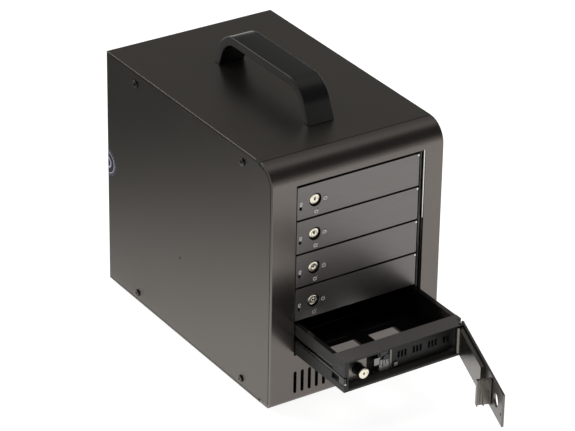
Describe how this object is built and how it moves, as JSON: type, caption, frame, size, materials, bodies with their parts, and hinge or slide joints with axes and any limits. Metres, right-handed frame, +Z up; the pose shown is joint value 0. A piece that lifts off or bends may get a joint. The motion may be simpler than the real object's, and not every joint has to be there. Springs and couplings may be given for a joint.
{
  "type": "network attached storage",
  "caption": "Desktop storage tower with a carry handle; slide-out drive trays have swing-out levers, turning locks and catches.",
  "frame": {"origin": "under the middle of the whole tower, pulled-out tray included, on the surface the feet stand on", "axes": "+Z up, -Y towards the trays, +X towards the trays' hinges"},
  "size_m": [0.1534, 0.4002, 0.2328],
  "materials": {
    "case_coat": "satin fine-grained dark grey coat",
    "handle_black": "satin black",
    "lever_face": "satin dark grey with a fine brushed grain",
    "lock_metal": "nickel plated",
    "pin_steel": "bright steel",
    "carrier": "fine-grained black",
    "catch": "satin grey",
    "screws": "black zinc",
    "feet": "black",
    "cage_steel": "galvanised sheet",
    "circuit_board": "green solder mask",
    "port_shell": "tinned shell",
    "fan_plastic": "black",
    "guard_wire": "plated wire",
    "inlet_plastic": "black",
    "rocker_plastic": "black"
  },
  "bodies": {
    "chassis": {"fan_guard": "guard_wire", "front_bezel": "case_coat", "fan_frame": "fan_plastic", "back_panel": "case_coat", "left_side_panel": "case_coat", "right_side_panel": "case_coat", "main_board": "circuit_board", "carry_handle": "handle_black", "top_cover": "case_coat", "bottom_plate": "case_coat", "psu_case": "cage_steel", "backplane_board": "circuit_board", "psu_board": "circuit_board", "left_screw_1": "screws", "left_screw_2": "screws", "left_screw_3": "screws", "left_screw_4": "screws", "right_screw_1": "screws", "right_screw_2": "screws", "right_screw_3": "screws", "right_screw_4": "screws", "cage_left_wall": "cage_steel", "cage_right_wall": "cage_steel", "power_inlet": "inlet_plastic", "foot_1": "feet", "foot_2": "feet", "foot_3": "feet", "foot_4": "feet", "usb_port": "port_shell", "cage_floor": "cage_steel", "lan_port_1": "port_shell", "lan_port_2": "port_shell", "cage_top": "cage_steel"},
    "tray_1": {"tray_1_carrier": "carrier", "tray_1_hinge_pin": "pin_steel"},
    "lever_1": {"tray_1_lever": "lever_face"},
    "lock_1": {"tray_1_lock": "lock_metal"},
    "catch_1": {"tray_1_catch": "catch"},
    "tray_2": {"tray_2_carrier": "carrier", "tray_2_hinge_pin": "pin_steel"},
    "lever_2": {"tray_2_lever": "lever_face"},
    "lock_2": {"tray_2_lock": "lock_metal"},
    "catch_2": {"tray_2_catch": "catch"},
    "tray_3": {"tray_3_carrier": "carrier", "tray_3_hinge_pin": "pin_steel"},
    "lever_3": {"tray_3_lever": "lever_face"},
    "lock_3": {"tray_3_lock": "lock_metal"},
    "catch_3": {"tray_3_catch": "catch"},
    "tray_4": {"tray_4_carrier": "carrier", "tray_4_hinge_pin": "pin_steel"},
    "lever_4": {"tray_4_lever": "lever_face"},
    "lock_4": {"tray_4_lock": "lock_metal"},
    "catch_4": {"tray_4_catch": "catch"},
    "tray_5": {"tray_5_carrier": "carrier", "tray_5_hinge_pin": "pin_steel"},
    "lever_5": {"tray_5_lever": "lever_face"},
    "lock_5": {"tray_5_lock": "lock_metal"},
    "catch_5": {"tray_5_catch": "catch"},
    "fan_rotor": {"fan_rotor": "fan_plastic"},
    "power_rocker": {"power_rocker": "rocker_plastic"}
  },
  "joints": [
    {"name": "tray_1_slide", "type": "slide", "parent": "chassis", "child": "tray_1", "axis": [0, -1, 0], "range_m": [0, 0.17]},
    {"name": "lever_1_hinge", "type": "hinge", "parent": "tray_1", "child": "lever_1", "pos_m": [0.0494, -0.03302, 0.1701], "axis": [0, 0, 1], "range_deg": [0, 90]},
    {"name": "lock_1_turn", "type": "hinge", "parent": "tray_1", "child": "lock_1", "pos_m": [-0.0377, -0.02862, 0.1701], "axis": [0, 1, 0], "range_deg": [0, 90]},
    {"name": "catch_1_slide", "type": "slide", "parent": "tray_1", "child": "catch_1", "axis": [-1, 0, 0], "range_m": [0, 0.0036]},
    {"name": "tray_2_slide", "type": "slide", "parent": "chassis", "child": "tray_2", "axis": [0, -1, 0], "range_m": [0, 0.17]},
    {"name": "lever_2_hinge", "type": "hinge", "parent": "tray_2", "child": "lever_2", "pos_m": [0.0494, -0.03302, 0.1421], "axis": [0, 0, 1], "range_deg": [0, 90]},
    {"name": "lock_2_turn", "type": "hinge", "parent": "tray_2", "child": "lock_2", "pos_m": [-0.0377, -0.02862, 0.1421], "axis": [0, 1, 0], "range_deg": [0, 90]},
    {"name": "catch_2_slide", "type": "slide", "parent": "tray_2", "child": "catch_2", "axis": [-1, 0, 0], "range_m": [0, 0.0036]},
    {"name": "tray_3_slide", "type": "slide", "parent": "chassis", "child": "tray_3", "axis": [0, -1, 0], "range_m": [0, 0.17]},
    {"name": "lever_3_hinge", "type": "hinge", "parent": "tray_3", "child": "lever_3", "pos_m": [0.0494, -0.03302, 0.1141], "axis": [0, 0, 1], "range_deg": [0, 90]},
    {"name": "lock_3_turn", "type": "hinge", "parent": "tray_3", "child": "lock_3", "pos_m": [-0.0377, -0.02862, 0.1141], "axis": [0, 1, 0], "range_deg": [0, 90]},
    {"name": "catch_3_slide", "type": "slide", "parent": "tray_3", "child": "catch_3", "axis": [-1, 0, 0], "range_m": [0, 0.0036]},
    {"name": "tray_4_slide", "type": "slide", "parent": "chassis", "child": "tray_4", "axis": [0, -1, 0], "range_m": [0, 0.17]},
    {"name": "lever_4_hinge", "type": "hinge", "parent": "tray_4", "child": "lever_4", "pos_m": [0.0494, -0.03302, 0.0861], "axis": [0, 0, 1], "range_deg": [0, 90]},
    {"name": "lock_4_turn", "type": "hinge", "parent": "tray_4", "child": "lock_4", "pos_m": [-0.0377, -0.02862, 0.0861], "axis": [0, 1, 0], "range_deg": [0, 90]},
    {"name": "catch_4_slide", "type": "slide", "parent": "tray_4", "child": "catch_4", "axis": [-1, 0, 0], "range_m": [0, 0.0036]},
    {"name": "tray_5_slide", "type": "slide", "parent": "chassis", "child": "tray_5", "axis": [0, -1, 0], "range_m": [-0.0689, 0.1011]},
    {"name": "lever_5_hinge", "type": "hinge", "parent": "tray_5", "child": "lever_5", "pos_m": [0.0494, -0.10192, 0.0581], "axis": [0, 0, 1], "range_deg": [-70, 20]},
    {"name": "lock_5_turn", "type": "hinge", "parent": "tray_5", "child": "lock_5", "pos_m": [-0.0377, -0.09752, 0.0581], "axis": [0, 1, 0], "range_deg": [0, 90]},
    {"name": "catch_5_slide", "type": "slide", "parent": "tray_5", "child": "catch_5", "axis": [-1, 0, 0], "range_m": [0, 0.0036]},
    {"name": "fan_spin", "type": "hinge", "parent": "chassis", "child": "fan_rotor", "pos_m": [0, 0.18208, 0.131], "axis": [0, 1, 0], "continuous": true},
    {"name": "power_rocker_tilt", "type": "hinge", "parent": "chassis", "child": "power_rocker", "pos_m": [0.021, 0.19608, 0.024], "axis": [-1, 0, 0], "range_deg": [0, 14]}
  ],
  "couplings": [
    {"joint": "lock_1_turn", "follows": "catch_1_slide", "rad_per_m": 436.33},
    {"joint": "lock_2_turn", "follows": "catch_2_slide", "rad_per_m": 436.33},
    {"joint": "lock_3_turn", "follows": "catch_3_slide", "rad_per_m": 436.33},
    {"joint": "lock_4_turn", "follows": "catch_4_slide", "rad_per_m": 436.33},
    {"joint": "lock_5_turn", "follows": "catch_5_slide", "rad_per_m": 436.33}
  ]
}
